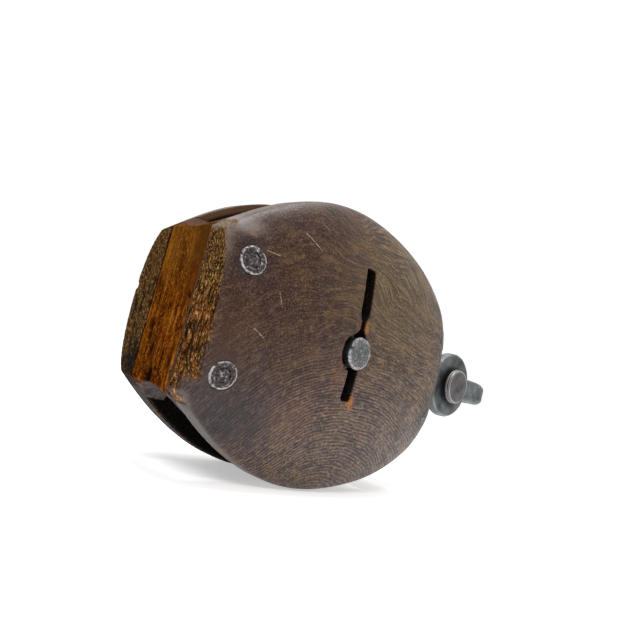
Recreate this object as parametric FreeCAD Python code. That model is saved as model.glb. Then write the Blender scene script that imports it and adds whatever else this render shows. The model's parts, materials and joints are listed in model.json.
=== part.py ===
"""A wooden tackle block with one sheave, bound inside with iron, and a shackle at its crown.

The frame is the block's own, in millimetres. The origin is the centre of the sheave pin, midway
between the two cheeks. +X runs along the block to the crown and the shackle, +Y along the sheave
pin to the back cheek, and +Z is up, with the block lying on its edge.
"""

import FreeCAD, Part
import math
import os

# Shell: two cheeks with a filler between them at each end.
TAIL_LENGTH = 86.0
CROWN_LENGTH = 98.0
HALF_WIDTH = 75.0
TAIL_HALF_WIDTH = 37.0
CROWN_HALF_WIDTH = 22.0
CROWN_FULLNESS = 1.9
GAP_HALF = 16.5
FLANK_LAND = 8.5
BELLY_BULGE = 18.5
TAIL_BULGE = 10.0
CROWN_BULGE = 11.5
ROUNDING_START = 0.8
ROUNDING_END = 0.3
TAIL_FILLER_LENGTH = 21.0
CROWN_FILLER_START = 63.0
FILLER_HOLLOW_R = 70.0
# A face no longer than this along X is one of the shell's square ends.
END_FACE_DEPTH = 0.01

# Sheave, its bronze bush and the rope that it is cut for.
SHEAVE_R = 54.0
SHEAVE_HALF = 15.0
ROPE_LINE_R = 56.0
GROOVE_R = 12.0
GROOVE_CENTRE_R = 57.0
SHEAVE_RIM_ROUND = 1.2
ROPE_LEAD_R = 18.8
BUSH_R = 13.0
BUSH_FLANGE_R = 20.0
BUSH_FLANGE = 2.5
BUSH_RIVET_R = 2.0
BUSH_RIVET_CIRCLE_R = 16.5
BUSH_RIVETS = 3
BUSH_RIVET_START = 0.25

# Sheave pin, and the flat key that locks it in its slot in the front cheek.
PIN_R = 8.0
PIN_PROUD = 2.0
PIN_PEEN_R = 8.5
PIN_PEEN = 1.8
PIN_HEAD_R = 11.0
PIN_HEAD = 4.5
PIN_PEEN_ROUND = 0.9
PIN_HEAD_ROUND = 1.6
KEY_THICK = 3.0
KEY_DEEP = 5.5
KEY_LOW = -22.0
KEY_HIGH = 12.0
SLOT_HALF = 3.6
SLOT_LOW = -24.8
SLOT_HIGH = 44.3
SLOT_FLOOR = 31.5

# Rivets through the cheeks and fillers, each with a burr washer under both ends.
TAIL_RIVET_X = -72.6
TAIL_RIVET_Z = 25.7
CROWN_RIVET_X = 87.0
CROWN_RIVET_Z = 25.0
RIVET_R = 3.2
BURR_R = 6.4
BURR_DEEP = 1.6

# Iron straps let into the cheeks, from the sheave pin to the shackle pin.
STRAP = 6.0
STRAP_HALF_WIDTH = 14.0
STRAP_PIN_EYE_R = 19.0
STRAP_CROWN_EYE_R = 17.0
SPACER_R = 11.0

# Shackle and its pin.
SHACKLE_X = 116.0
EAR_R = 21.3
EAR_INNER = 23.2
EAR = 7.0
ARM = 37.0
BAR_HALF_HEIGHT = 7.8
BAR_ROUND = 3.0
EAR_CHAMFER = 1.0
SHACKLE_PIN_R = 7.0
SHACKLE_HEAD_R = 11.2
SHACKLE_HEAD_GAP = 2.0
SHACKLE_HEAD = 3.6
SHACKLE_HEAD_ROUND = 0.8
SHACKLE_PIN_TAIL = 11.5
SHACKLE_PIN_CHAMFER = 1.0
WASHER_R = 11.0
WASHER = 2.0
SPLIT_PIN_R = 1.4
SPLIT_PIN_ABOVE = 1.0
SPLIT_PIN_BELOW = 18.0
SPLIT_PIN_EYE_R = 2.6
SPLIT_PIN_EYE_WIRE_R = 1.12
SPLIT_PIN_LEG_R = 1.05
SPLIT_PIN_LEG = 6.0
SPLIT_PIN_SPLAY = 0.6
EAR_CLEARANCE = 1.8

# Clearances: SNUG inside one body, RUN where a pin turns in its hole.
SNUG = 0.04
RUN = 0.06
# Past every face, a little past a face, and close enough to count as at it.
FAR = 140.0
OVERCUT = 1.0
NEAR = 0.1

FLANK_Y = GAP_HALF + FLANK_LAND
BELLY_Y = FLANK_Y + BELLY_BULGE
STRAP_Y = GAP_HALF + STRAP
EAR_OUTER = EAR_INNER + EAR


def vec(x, y, z):
    return FreeCAD.Vector(x, y, z)


def rod(radius, y0, y1, x=0.0, z=0.0):
    """A cylinder along Y."""
    return Part.makeCylinder(radius, y1 - y0, vec(x, y0, z), vec(0, 1, 0))


def brick(x0, x1, y0, y1, z0, z1):
    return Part.makeBox(x1 - x0, y1 - y0, z1 - z0, vec(x0, y0, z0))


def rims_at(shape, y):
    """A turned shape's round edges at a height along Y."""
    rims = [e for e in shape.Edges if len(e.Vertexes) == 1]
    return [e for e in rims if abs(e.CenterOfMass.y - y) < NEAR]


def fuse(shapes):
    return shapes[0].multiFuse(shapes[1:]).removeSplitter()


def mirrored(shape):
    """The same shape on the other side of the plane between the cheeks."""
    return shape.mirror(vec(0, 0, 0), vec(0, 1, 0))


def half_width(x):
    """Half the shell's width at a station along the block: a parabola aft, a rounded crown."""
    if x < 0:
        along = -x / TAIL_LENGTH
        return TAIL_HALF_WIDTH + (HALF_WIDTH - TAIL_HALF_WIDTH) * (1 - along**2)
    along = x / CROWN_LENGTH
    rise = max(0.0, 1 - along**CROWN_FULLNESS) ** (1 / CROWN_FULLNESS)
    return CROWN_HALF_WIDTH + (HALF_WIDTH - CROWN_HALF_WIDTH) * rise


def bulge(x):
    """Height of a cheek's domed face above its flank land, rounded over at the crown."""
    if x < 0:
        along = -x / TAIL_LENGTH
        return TAIL_BULGE + (BELLY_BULGE - TAIL_BULGE) * (1 - along**2)
    along = x / CROWN_LENGTH
    height = CROWN_BULGE + (BELLY_BULGE - CROWN_BULGE) * (1 - along**2)
    turn = max(0.0, (along - ROUNDING_START) / (1 - ROUNDING_START))
    return height * math.sqrt(1 - (1 - ROUNDING_END**2) * turn**2)


def front_dome(aft=10, fore=16, across=24):
    """The front cheek's domed face, as one smooth surface of half ellipses from end to end."""
    stations = [-TAIL_LENGTH * (aft - i) / aft for i in range(aft)]
    stations += [CROWN_LENGTH * math.sin(math.pi / 2 * i / fore) for i in range(fore + 1)]
    grid = []
    for x in stations:
        row = []
        for j in range(across + 1):
            turn = math.pi * j / across
            y = -FLANK_Y - bulge(x) * math.sin(turn)
            row.append(vec(x, y, half_width(x) * math.cos(turn)))
        grid.append(row)
    surface = Part.BSplineSurface()
    surface.interpolate(grid)
    return surface.toShape()


def on_a_plane(face):
    """The same flat face, made anew from its edges' curves so that its surface is a plane."""
    around = face.OuterWire.OrderedEdges
    edges = [Part.Edge(e.Curve, e.FirstParameter, e.LastParameter) for e in around]
    return Part.Face(Part.Wire(edges))


def behind_front_dome():
    """Everything inside the shell's outline that lies behind the front cheek's face."""
    faces = []
    for face in front_dome().extrude(vec(0, FAR, 0)).Faces:
        square_end = face.BoundBox.XLength < END_FACE_DEPTH
        faces.append(on_a_plane(face) if square_end else face)
    shell = Part.Shell(faces)
    shell.sewShape()
    solid = Part.Solid(shell)
    if solid.Volume < 0:
        solid.reverse()
    return solid


def strap_profile(y0, y1, spare=0.0):
    """The outline of an iron strap: an eye at each pin with a straight leg between."""
    half = STRAP_HALF_WIDTH + spare
    eye = rod(STRAP_PIN_EYE_R + spare, y0, y1)
    leg = brick(0, SHACKLE_X, y0, y1, -half, half)
    crown_eye = rod(STRAP_CROWN_EYE_R + spare, y0, y1, SHACKLE_X)
    return fuse([eye, leg, crown_eye])


def rivet_places():
    names = ["tail_rivet_upper", "tail_rivet_lower", "crown_rivet_upper", "crown_rivet_lower"]
    xs = [TAIL_RIVET_X, TAIL_RIVET_X, CROWN_RIVET_X, CROWN_RIVET_X]
    zs = [TAIL_RIVET_Z, -TAIL_RIVET_Z, CROWN_RIVET_Z, -CROWN_RIVET_Z]
    return list(zip(names, xs, zs))


def burr_seat(blank, x, z, radius):
    """The shallow round seat of a burr in the front cheek, its floor parallel to the face there."""
    seat = rod(radius, -FAR / 2, 0, x, z).common(blank)
    sunk = blank.copy()
    sunk.translate(vec(0, BURR_DEEP, 0))
    return seat.cut(sunk)


def cheek(blank):
    """A cheek with what both have: the strap's groove, the pin hole, rivet holes and burr seats."""
    body = blank.common(brick(-FAR, FAR, -FAR, -GAP_HALF, -FAR, FAR))
    tools = [strap_profile(-STRAP_Y - SNUG, -GAP_HALF + OVERCUT, SNUG)]
    tools.append(rod(PIN_R + SNUG, -FAR, 0))
    tools.append(rod(EAR_R + EAR_CLEARANCE, -FAR, 0, SHACKLE_X))
    for _, x, z in rivet_places():
        tools.append(rod(RIVET_R + SNUG, -FAR, 0, x, z))
        tools.append(burr_seat(blank, x, z, BURR_R + SNUG))
    for tool in tools:
        body = body.cut(tool)
    return body


def key_slot():
    """The long square-ended slot, chopped down into the front cheek, that the key slides in."""
    return brick(-SLOT_HALF, SLOT_HALF, -FAR, -SLOT_FLOOR, SLOT_LOW, SLOT_HIGH)


def front_cheek(blank):
    return cheek(blank).cut(key_slot())


def back_cheek(blank):
    """The back cheek has no slot: the pin's head is let into it."""
    sink = rod(PIN_HEAD_R + SNUG, -FAR, -BELLY_Y - PIN_PROUD + PIN_HEAD)
    return mirrored(cheek(blank).cut(sink))


def filler_blank(blank, x0, x1):
    body = blank.common(brick(x0, x1, -GAP_HALF, GAP_HALF, -FAR, FAR))
    for _, x, z in rivet_places():
        body = body.cut(rod(RIVET_R + SNUG, -FAR, FAR, x, z))
    return body


def tail_filler(blank):
    """The tail filler, with a rope lead scooped out of each flank, in line with the rope."""
    body = filler_blank(blank, -FAR, -TAIL_LENGTH + TAIL_FILLER_LENGTH)
    for side in (-1, 1):
        start = vec(-FAR, 0, side * ROPE_LINE_R)
        body = body.cut(Part.makeCylinder(ROPE_LEAD_R, FAR, start, vec(1, 0, 0)))
    return body


def crown_filler(blank):
    body = filler_blank(blank, CROWN_FILLER_START, FAR)
    body = body.cut(rod(FILLER_HOLLOW_R, -FAR, FAR))
    return body.cut(rod(EAR_R + EAR_CLEARANCE, -FAR, FAR, SHACKLE_X))


def front_strap():
    strap = strap_profile(-STRAP_Y, -GAP_HALF)
    strap = strap.cut(rod(PIN_R + SNUG, -FAR, FAR))
    return strap.cut(rod(SHACKLE_PIN_R + RUN, -FAR, FAR, SHACKLE_X))


def strap_spacer():
    """The ferrule on the shackle pin that keeps the two strap eyes apart."""
    ring = rod(SPACER_R, -GAP_HALF, GAP_HALF, SHACKLE_X)
    return ring.cut(rod(SHACKLE_PIN_R + RUN, -FAR, FAR, SHACKLE_X))


def rivet(blank, x, z):
    """A rivet from one domed face to the other, hammered flush with both."""
    shank = rod(RIVET_R, -FAR / 2, FAR / 2, x, z)
    return shank.common(blank).common(mirrored(blank))


def burrs_front(blank):
    rings = []
    for _, x, z in rivet_places():
        disc = burr_seat(blank, x, z, BURR_R)
        rings.append(disc.cut(rod(RIVET_R + SNUG, -FAR, 0, x, z)))
    return Part.makeCompound(rings)


def sheave():
    """The lignum vitae wheel, grooved for the rope and recessed for its bush on both faces."""
    body = rod(SHEAVE_R, -SHEAVE_HALF, SHEAVE_HALF)
    rims = [e for e in body.Edges if len(e.Vertexes) == 1]
    body = body.makeFillet(SHEAVE_RIM_ROUND, rims)
    body = body.cut(Part.makeTorus(GROOVE_CENTRE_R, GROOVE_R, vec(0, 0, 0), vec(0, 1, 0)))
    body = body.cut(rod(BUSH_R + SNUG, -FAR, FAR))
    for side in (-1, 1):
        floor = side * (SHEAVE_HALF - BUSH_FLANGE - SNUG)
        low, high = sorted([floor, side * FAR])
        body = body.cut(rod(BUSH_FLANGE_R + SNUG, low, high))
    return body.cut(bush_rivet_rods(BUSH_RIVET_R + SNUG))


def bush_rivet_rods(radius):
    rods = []
    for i in range(BUSH_RIVETS):
        turn = 2 * math.pi * (i + BUSH_RIVET_START) / BUSH_RIVETS
        x = BUSH_RIVET_CIRCLE_R * math.cos(turn)
        z = BUSH_RIVET_CIRCLE_R * math.sin(turn)
        rods.append(rod(radius, -SHEAVE_HALF, SHEAVE_HALF, x, z))
    return Part.makeCompound(rods)


def sheave_bush():
    """The bronze bush, one piece with its front flange."""
    barrel = rod(BUSH_R, -SHEAVE_HALF, SHEAVE_HALF)
    flange = rod(BUSH_FLANGE_R, -SHEAVE_HALF, -SHEAVE_HALF + BUSH_FLANGE)
    body = fuse([barrel, flange]).cut(rod(PIN_R + RUN, -FAR, FAR))
    return body.cut(bush_rivet_rods(BUSH_RIVET_R + SNUG))


def bush_plate():
    """The loose bronze ring that the bush's rivets close on at the back."""
    ring = rod(BUSH_FLANGE_R, SHEAVE_HALF - BUSH_FLANGE, SHEAVE_HALF)
    ring = ring.cut(rod(BUSH_R + SNUG, -FAR, FAR))
    return ring.cut(bush_rivet_rods(BUSH_RIVET_R + SNUG))


def pin_key(spare=0.0):
    """The flat key, lying on the slot's floor and through the pin."""
    half = KEY_THICK / 2 + spare
    low = -SLOT_FLOOR - KEY_DEEP - spare
    return brick(-half, half, low, -SLOT_FLOOR + spare, KEY_LOW, KEY_HIGH)


def sheave_pin():
    """The pin: a peened end proud of the front cheek, a round head let into the back one."""
    front = -BELLY_Y - PIN_PROUD
    back = BELLY_Y + PIN_PROUD
    shank = rod(PIN_R, front, back)
    peen = rod(PIN_PEEN_R, front, front + PIN_PEEN)
    head = rod(PIN_HEAD_R, back - PIN_HEAD, back)
    peen = peen.makeFillet(PIN_PEEN_ROUND, rims_at(peen, front))
    head = head.makeFillet(PIN_HEAD_ROUND, rims_at(head, back))
    return fuse([shank, peen, head]).cut(pin_key(SNUG))


def shackle():
    """A flat-sided bow between two round ears."""
    bend_x = SHACKLE_X + ARM
    outer = rod_z(EAR_OUTER, bend_x).common(brick(bend_x, FAR + bend_x, -FAR, FAR, -FAR, FAR))
    inner = rod_z(EAR_INNER, bend_x)
    arms = [outer]
    for side in (-1, 1):
        low, high = sorted([side * EAR_INNER, side * EAR_OUTER])
        arms.append(brick(SHACKLE_X, bend_x, low, high, -BAR_HALF_HEIGHT, BAR_HALF_HEIGHT))
    bow = fuse(arms).cut(inner)
    flats = [e for e in bow.Edges if abs(abs(e.CenterOfMass.z) - BAR_HALF_HEIGHT) < NEAR]
    long_edges = [e for e in flats if e.BoundBox.XLength > EAR_INNER + OVERCUT]
    bow = bow.makeFillet(BAR_ROUND, long_edges)
    return fuse([bow, ear(-1), ear(1)]).cut(rod(SHACKLE_PIN_R + SNUG, -FAR, FAR, SHACKLE_X))


def rod_z(radius, x):
    start = vec(x, 0, -BAR_HALF_HEIGHT)
    return Part.makeCylinder(radius, 2 * BAR_HALF_HEIGHT, start, vec(0, 0, 1))


def ear(side):
    low, high = sorted([side * EAR_INNER, side * EAR_OUTER])
    disc = rod(EAR_R, low, high, SHACKLE_X)
    rims = [e for e in disc.Edges if len(e.Vertexes) == 1]
    return disc.makeChamfer(EAR_CHAMFER, rims)


def shackle_pin():
    """The shackle's pin, its turned head standing a little off the front ear."""
    neck = -EAR_OUTER - SHACKLE_HEAD_GAP
    tail = EAR_OUTER + SHACKLE_PIN_TAIL
    shank = rod(SHACKLE_PIN_R, neck, tail, SHACKLE_X)
    shank = shank.makeChamfer(SHACKLE_PIN_CHAMFER, rims_at(shank, tail))
    head = rod(SHACKLE_HEAD_R, neck - SHACKLE_HEAD, neck, SHACKLE_X)
    rims = [e for e in head.Edges if len(e.Vertexes) == 1]
    head = head.makeFillet(SHACKLE_HEAD_ROUND, rims)
    under = vec(SHACKLE_X, split_pin_y(), -FAR / 2)
    hole = Part.makeCylinder(SPLIT_PIN_R + SNUG, FAR, under, vec(0, 0, 1))
    return fuse([shank, head]).cut(hole)


def split_pin_y():
    return EAR_OUTER + WASHER + (SHACKLE_PIN_TAIL - WASHER) / 2


def shackle_pin_washer():
    ring = rod(WASHER_R, EAR_OUTER, EAR_OUTER + WASHER, SHACKLE_X)
    return ring.cut(rod(SHACKLE_PIN_R + SNUG, -FAR, FAR, SHACKLE_X))


def split_pin():
    """The split pin through the shackle pin's tail: an eye above, two spread legs below."""
    y = split_pin_y()
    top = SHACKLE_PIN_R + SPLIT_PIN_ABOVE
    foot = top - SPLIT_PIN_BELOW
    eye_centre = vec(SHACKLE_X, y, top + SPLIT_PIN_EYE_R)
    eye = Part.makeTorus(SPLIT_PIN_EYE_R, SPLIT_PIN_EYE_WIRE_R, eye_centre, vec(0, 1, 0))
    length = top + SPLIT_PIN_EYE_WIRE_R / 2 - foot
    stem = Part.makeCylinder(SPLIT_PIN_R, length, vec(SHACKLE_X, y, foot), vec(0, 0, 1))
    legs = []
    for side in (-1, 1):
        start = vec(SHACKLE_X, y, foot + SPLIT_PIN_R)
        splay = vec(side, 0, -SPLIT_PIN_SPLAY)
        legs.append(Part.makeCylinder(SPLIT_PIN_LEG_R, SPLIT_PIN_LEG, start, splay))
    return fuse([stem, eye] + legs)


def build():
    """Every node of the block by name."""
    blank = behind_front_dome()
    nodes = {
        "front_cheek": front_cheek(blank),
        "back_cheek": back_cheek(blank),
        "tail_filler": tail_filler(blank),
        "crown_filler": crown_filler(blank),
        "front_strap": front_strap(),
        "back_strap": mirrored(front_strap()),
        "strap_spacer": strap_spacer(),
        "sheave": sheave(),
        "sheave_bush": sheave_bush(),
        "bush_plate": bush_plate(),
        "bush_rivets": bush_rivet_rods(BUSH_RIVET_R),
        "sheave_pin": sheave_pin(),
        "pin_key": pin_key(),
        "rivet_burrs_front": burrs_front(blank),
        "rivet_burrs_back": mirrored(burrs_front(blank)),
        "shackle": shackle(),
        "shackle_pin": shackle_pin(),
        "shackle_pin_washer": shackle_pin_washer(),
        "split_pin": split_pin(),
    }
    for name, x, z in rivet_places():
        nodes[name] = rivet(blank, x, z)
    return nodes


os.makedirs("parts", exist_ok=True)
for node, shape in build().items():
    solids = shape.Solids
    print(node, len(solids), "solid", round(shape.Volume / 1000, 2), "cm3", shape.isValid())
    shape = solids[0] if len(solids) == 1 else Part.makeCompound(solids)
    shape.exportStep(f"parts/{node}.step")
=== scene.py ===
"""The looks of an old wooden tackle block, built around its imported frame.

Blender works in metres. Lengths named here are in millimetres, in the block's own frame: +X to the
crown and shackle, +Y along the sheave pin to the back cheek, +Z up, origin at the sheave pin.
"""

import json
import math

import bmesh
import bpy
import numpy as np
from mathutils import Matrix, Vector, noise

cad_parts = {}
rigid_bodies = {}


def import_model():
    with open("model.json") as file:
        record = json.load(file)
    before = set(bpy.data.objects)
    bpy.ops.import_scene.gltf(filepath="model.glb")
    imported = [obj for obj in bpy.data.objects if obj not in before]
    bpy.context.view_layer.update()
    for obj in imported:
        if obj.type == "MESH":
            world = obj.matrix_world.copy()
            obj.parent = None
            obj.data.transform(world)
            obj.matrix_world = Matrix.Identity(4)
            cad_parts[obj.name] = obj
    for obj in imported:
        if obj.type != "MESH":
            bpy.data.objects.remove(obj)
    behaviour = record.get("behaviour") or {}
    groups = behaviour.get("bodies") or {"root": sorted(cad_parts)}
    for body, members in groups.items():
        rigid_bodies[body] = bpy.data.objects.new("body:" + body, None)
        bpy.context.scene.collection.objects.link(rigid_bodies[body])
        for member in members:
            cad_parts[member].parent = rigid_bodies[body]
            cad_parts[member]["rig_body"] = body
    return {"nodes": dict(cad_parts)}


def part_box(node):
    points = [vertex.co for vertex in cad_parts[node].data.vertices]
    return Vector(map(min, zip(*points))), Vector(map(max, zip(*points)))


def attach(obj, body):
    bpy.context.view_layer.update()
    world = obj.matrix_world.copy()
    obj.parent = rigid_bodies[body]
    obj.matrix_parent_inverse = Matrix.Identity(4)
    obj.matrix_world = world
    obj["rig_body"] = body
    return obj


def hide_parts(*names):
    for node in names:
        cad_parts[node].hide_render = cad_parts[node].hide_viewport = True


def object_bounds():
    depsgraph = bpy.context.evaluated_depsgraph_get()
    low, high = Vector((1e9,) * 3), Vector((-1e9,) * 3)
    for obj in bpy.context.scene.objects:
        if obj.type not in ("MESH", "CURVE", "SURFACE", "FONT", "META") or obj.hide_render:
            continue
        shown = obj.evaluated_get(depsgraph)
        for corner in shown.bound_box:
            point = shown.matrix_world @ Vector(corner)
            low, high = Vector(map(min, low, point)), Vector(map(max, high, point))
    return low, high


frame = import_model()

MM = 0.001
CAD_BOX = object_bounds()
COLLECTION = bpy.context.scene.collection


def node_box(node):
    """A CAD node's lowest and highest corners, in millimetres."""
    low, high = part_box(node)
    return low / MM, high / MM


# The shell's shape, taken from the frame and from the curves it is carved to.
TAIL_X = node_box("tail_filler")[0].x
TAIL_LENGTH = -TAIL_X
CROWN_LENGTH = node_box("front_cheek")[1].x
HALF_WIDTH = 75.0
TAIL_HALF_WIDTH = 37.0
CROWN_HALF_WIDTH = 22.0
CROWN_FULLNESS = 1.9
GAP_HALF = node_box("tail_filler")[1].y
FLANK_Y = GAP_HALF + 8.5
BELLY_BULGE = 18.5
TAIL_BULGE = 10.0
CROWN_BULGE = 11.5
ROUNDING_START = 0.8
ROUNDING_END = 0.3

PIN_FRONT_Y, PIN_BACK_Y = (corner.y for corner in node_box("sheave_pin"))
PIN_R = 8.0
PEEN_R = 8.5
PIN_HEAD_R = 11.0
PIN_HEAD = 4.5
SLOT_HALF = 3.6
SLOT_HIGH = 44.3
RIVET_R = 3.2
BURR_R = 6.4
BURR_DEEP = 1.6
RIVETS = {
    "tail_rivet_upper": (-72.6, 25.7),
    "tail_rivet_lower": (-72.6, -25.7),
    "crown_rivet_upper": (87.0, 25.0),
    "crown_rivet_lower": (87.0, -25.0),
}
SHEAVE_R = 54.0
SHEAVE_HALF = 15.0
BUSH_R = 13.0
FLANGE_R = 20.0
FLANGE_Y = 12.5
FIT = 0.05
SHACKLE_X = 116.0
SHACKLE_PIN_Y = tuple(corner.y for corner in node_box("shackle_pin"))

COARSE = 1.0


# ---- shell formulas

def half_width(x):
    """Half the shell's width at each station x."""
    aft = np.clip(-x / TAIL_LENGTH, 0, 1)
    fore = np.clip(x / CROWN_LENGTH, 0, 1)
    tail = TAIL_HALF_WIDTH + (HALF_WIDTH - TAIL_HALF_WIDTH) * (1 - aft**2)
    rise = (1 - fore**CROWN_FULLNESS) ** (1 / CROWN_FULLNESS)
    crown = CROWN_HALF_WIDTH + (HALF_WIDTH - CROWN_HALF_WIDTH) * rise
    return np.where(x < 0, tail, crown)


def bulge(x):
    """Height of a cheek's dome above its flank land at each station x."""
    aft = np.clip(-x / TAIL_LENGTH, 0, 1)
    fore = np.clip(x / CROWN_LENGTH, 0, 1)
    tail = TAIL_BULGE + (BELLY_BULGE - TAIL_BULGE) * (1 - aft**2)
    crown = CROWN_BULGE + (BELLY_BULGE - CROWN_BULGE) * (1 - fore**2)
    turn = np.clip((fore - ROUNDING_START) / (1 - ROUNDING_START), 0, 1)
    return np.where(x < 0, tail, crown * np.sqrt(1 - (1 - ROUNDING_END**2) * turn**2))


def shell_value(points):
    """Below 0 inside the shell's carved outline, 0 on it, above 0 outside."""
    x, y, z = points.T
    proud = np.clip(np.abs(y) - FLANK_Y, 0, None) / bulge(x)
    return np.sqrt(proud**2 + (z / half_width(x)) ** 2) - 1


def shell_gradient(points, step=0.05):
    slopes = []
    for axis in np.eye(3) * step:
        slopes.append((shell_value(points + axis) - shell_value(points - axis)) / (2 * step))
    return np.stack(slopes, -1)


def dome_y(x, z):
    """Height |y| of the dome at a place."""
    share = np.clip(1 - (z / half_width(x)) ** 2, 0, None)
    return FLANK_Y + bulge(x) * np.sqrt(share)


def smoothstep(low, high, value):
    t = np.clip((value - low) / (high - low), 0, 1)
    return t * t * (3 - 2 * t)


# ---- mesh helpers

def add_object(name, mesh):
    piece = bpy.data.objects.new(name, mesh)
    COLLECTION.objects.link(piece)
    return piece


def vertex_values(mesh, what):
    flat = np.empty(len(mesh.vertices) * 3, np.float32)
    mesh.vertices.foreach_get(what, flat)
    return flat.reshape(-1, 3).astype(float)


def points_of(mesh):
    return vertex_values(mesh, "co") / MM


def normals_of(mesh):
    return vertex_values(mesh, "normal")


def move_points(mesh, points):
    mesh.vertices.foreach_set("co", (points * MM).astype(np.float32).ravel())
    mesh.update()


def mark(mesh, **values):
    """Stores named values at each vertex. A single number goes to all of them."""
    for name, value in values.items():
        layer = mesh.attributes.new(name, "FLOAT", "POINT")
        spread = np.broadcast_to(value, len(mesh.vertices))
        layer.data.foreach_set("value", spread.astype(np.float32))


def rough_noise(points, size, seed, stretch=(1, 1, 1)):
    """Smooth noise from about -1 to 1, its lumps about size mm across."""
    scaled = points * np.array(stretch) / size + np.array([seed * 17.3, seed * 7.9, seed * 3.1])
    return np.array([noise.noise(Vector(p)) for p in scaled])


def finished(mesh, angle=35):
    mesh.shade_smooth()
    mesh.set_sharp_from_angle(angle=math.radians(angle))
    return mesh


def welded_copy(node):
    """A copy of a CAD node's mesh with its split edges joined again."""
    form = bmesh.new()
    form.from_mesh(frame["nodes"][node].data)
    bmesh.ops.remove_doubles(form, verts=form.verts, dist=0.002 * MM)
    return mesh_of(node + "_copy", form)


def evaluated_mesh(piece):
    """The mesh that an object's modifiers or its curve make."""
    shaped = piece.evaluated_get(bpy.context.evaluated_depsgraph_get())
    return bpy.data.meshes.new_from_object(shaped)


def fine_copy(node, name, voxel, smooth=2, cutters=()):
    """A dense, even copy of a CAD node, its edges worn round by about a voxel."""
    piece = add_object(name, welded_copy(node))
    for cutter in cutters:
        cut = piece.modifiers.new("Cut", "BOOLEAN")
        cut.operation = "DIFFERENCE"
        cut.solver = "EXACT"
        cut.object = cutter
    remesh = piece.modifiers.new("Remesh", "REMESH")
    remesh.mode = "VOXEL"
    remesh.voxel_size = voxel * COARSE * MM
    soften = piece.modifiers.new("Soften", "SMOOTH")
    soften.factor = 0.5
    soften.iterations = smooth
    mesh = evaluated_mesh(piece)
    piece.modifiers.clear()
    piece.data = mesh
    mesh.materials.clear()
    mesh.shade_smooth()
    for cutter in cutters:
        bpy.data.objects.remove(cutter)
    return piece


def skinned(name, form, rings, segments):
    """The mesh of faces between each ring of corners and the next. A ring may be one point."""
    for a, b in zip(rings, rings[1:]):
        for i in range(segments):
            j = (i + 1) % segments
            corners = [a[i % len(a)], a[j % len(a)], b[j % len(b)], b[i % len(b)]]
            form.faces.new(list(dict.fromkeys(corners)))
    bmesh.ops.recalc_face_normals(form, faces=form.faces)
    return mesh_of(name, form)


def mesh_of(name, form):
    mesh = bpy.data.meshes.new(name)
    form.to_mesh(mesh)
    form.free()
    return mesh


def lathe(name, profile, x=0.0, segments=96):
    """A piece turned about a line along Y. The profile is (radius, y) points in order."""
    form = bmesh.new()
    rings = []
    for radius, y in profile:
        if radius == 0:
            rings.append([form.verts.new(Vector((x, y, 0)) * MM)])
            continue
        ring = []
        for i in range(segments):
            turn = 2 * math.pi * i / segments
            place = Vector((x + radius * math.cos(turn), y, radius * math.sin(turn)))
            ring.append(form.verts.new(place * MM))
        rings.append(ring)
    if profile[0][0] > 0:
        rings.append(rings[0])
    return add_object(name, finished(skinned(name, form, rings, segments)))


def rounded(profile, radius, steps=4):
    """The closed profile with each corner turned into a small arc."""
    points = [Vector(p) for p in profile]
    count = len(points)
    out = []
    for i, corner in enumerate(points):
        before = points[i - 1] - corner
        after = points[(i + 1) % count] - corner
        reach = min(radius, before.length * 0.45, after.length * 0.45)
        start = corner + before.normalized() * reach
        end = corner + after.normalized() * reach
        for k in range(steps + 1):
            t = k / steps
            out.append(tuple(start * (1 - t) ** 2 + corner * 2 * t * (1 - t) + end * t * t))
    return out


def stand_for(piece, finish, node):
    """The piece takes a finish, and rides with the CAD node that it stands for, in its slot."""
    piece.data.materials.append(MATERIALS[finish])
    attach(piece, frame["nodes"][node]["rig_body"])
    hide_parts(node)


# ---- material helpers

COAT_ROUGHNESS = 0.28


def colour(value):
    """Turns three 0 to 255 screen values into a shader's linear colour. Leaves the rest alone."""
    if not isinstance(value, tuple) or len(value) != 3:
        return value
    shares = [c / 255 for c in value]
    linear = [c / 12.92 if c <= 0.04045 else ((c + 0.055) / 1.055) ** 2.4 for c in shares]
    return (*linear, 1.0)


def set_inputs(node, **values):
    """Sets a node's unlinked inputs. An underscore stands for a space in an input's name."""
    for name, value in values.items():
        node.inputs[name.replace("_", " ")].default_value = value


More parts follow.
